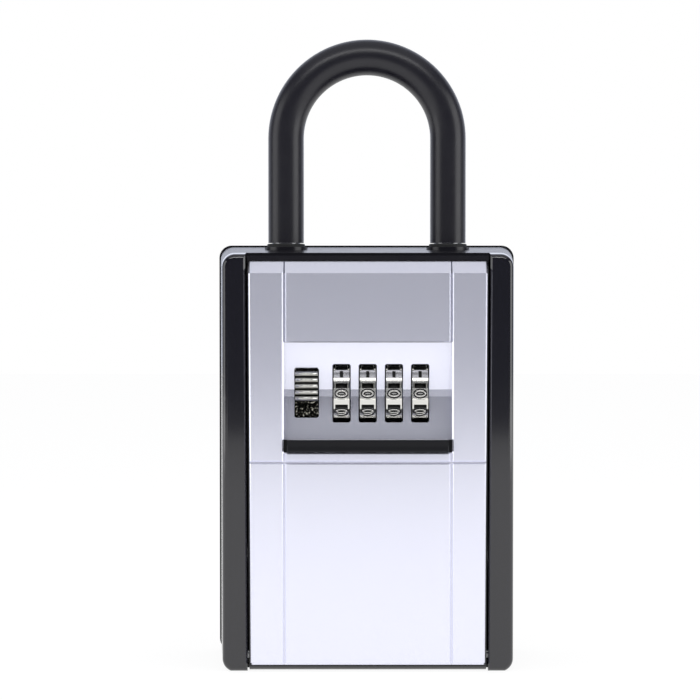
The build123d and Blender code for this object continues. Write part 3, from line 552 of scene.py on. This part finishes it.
def makeWorld():
    # glossy surfaces see a bright floor, a dark room in front, a dim ceiling and a pale backdrop behind;
    # everything else gets an even fill, and the camera sees white
    v = studioValues
    world = bpy.data.worlds.new("studio")
    bpy.context.scene.world = world
    world.use_nodes = True
    tree = world.node_tree
    background = tree.nodes["Background"]
    direction = addNode(world, "ShaderNodeTexCoord")
    split = addNode(world, "ShaderNodeSeparateXYZ", {}, {0: direction.outputs["Generated"]})
    height = addNode(world, "ShaderNodeMapRange", {"From Min": -1.0}, {"Value": split.outputs["Z"]})
    ramp = addNode(world, "ShaderNodeValToRGB", {}, {"Fac": height.outputs[0]})
    while len(ramp.color_ramp.elements) < len(v["front"]):
        ramp.color_ramp.elements.new(0.5)
    for element, (degrees, level) in zip(ramp.color_ramp.elements, v["front"]):
        element.position = (math.sin(math.radians(degrees)) + 1) / 2
        element.color = [level * channel for channel in v["tint"]] + [1]
    span = {"From Min": v["backdropFrom"], "From Max": v["backdropTo"]}
    behind = addNode(world, "ShaderNodeMapRange", span, {"Value": split.outputs["Y"]})
    room = addNode(world, "ShaderNodeMix", {"data_type": "RGBA"}, {0: behind.outputs[0]})
    room.inputs["B"].default_value = [v["backdrop"] * channel for channel in v["tint"]] + [1]
    tree.links.new(ramp.outputs["Color"], room.inputs["A"])
    ray = addNode(world, "ShaderNodeLightPath")
    fill = addNode(world, "ShaderNodeMix", {"data_type": "RGBA"}, {0: ray.outputs["Is Glossy Ray"]})
    fill.inputs["A"].default_value = (v["fill"], v["fill"], v["fill"], 1)
    tree.links.new(room.outputs["Result"], fill.inputs["B"])
    seen = addNode(world, "ShaderNodeMath", {"operation": "MAXIMUM"},
                   {0: ray.outputs["Is Camera Ray"], 1: ray.outputs["Is Transmission Ray"]})
    white = addNode(world, "ShaderNodeMix", {"data_type": "RGBA"}, {0: seen.outputs[0]})
    white.inputs["B"].default_value = (1, 1, 1, 1)
    tree.links.new(fill.outputs["Result"], white.inputs["A"])
    tree.links.new(white.outputs["Result"], background.inputs["Color"])


lampValues = {    # place, size and power: a broad ceiling, a soft box each side and a strip high in front
    "ceiling": ((0.0, -0.2, 1.1), (1.6, 1.2), 2.2),
    "left": ((-0.95, -0.26, 0.25), (0.7, 0.9), 2.8),
    "right": ((0.92, -0.34, 0.25), (0.7, 0.9), 3.8),
    "strip": ((0.0, -0.72, 0.92), (1.2, 0.22), 3.0),
}


def makeLamps():
    # area lamps turned towards the middle of the box
    middle = Vector((cadBox[0] + cadBox[1]) / 2)
    for name, (place, size, power) in lampValues.items():
        light = bpy.data.lights.new(name, "AREA")
        light.shape = "RECTANGLE"
        light.size, light.size_y = size
        light.energy = power
        lamp = bpy.data.objects.new(name, light)
        lamp.location = place
        lamp.rotation_euler = (middle - Vector(place)).to_track_quat("-Z", "Y").to_euler()
        bpy.context.scene.collection.objects.link(lamp)


cameraValues = {"place": (-0.00808, -0.8338, 0.1324), "aim": (-0.00611, -0.025, 0.1102), "lens": 122.07,
                "sensor": 36}


def makeCamera():
    # a long lens a little above the middle of the box
    v = cameraValues
    camera = bpy.data.objects.new("camera", bpy.data.cameras.new("camera"))
    camera.location = v["place"]
    camera.rotation_euler = (Vector(v["aim"]) - camera.location).to_track_quat("-Z", "Y").to_euler()
    camera.data.sensor_width = v["sensor"]
    camera.data.lens = v["lens"]
    bpy.context.scene.collection.objects.link(camera)
    bpy.context.scene.camera = camera


makeFloor()
makeWorld()
makeLamps()
makeCamera()
bpy.context.scene.view_settings.view_transform = "Standard"
print("stage 4: floor, world, lamps and camera")
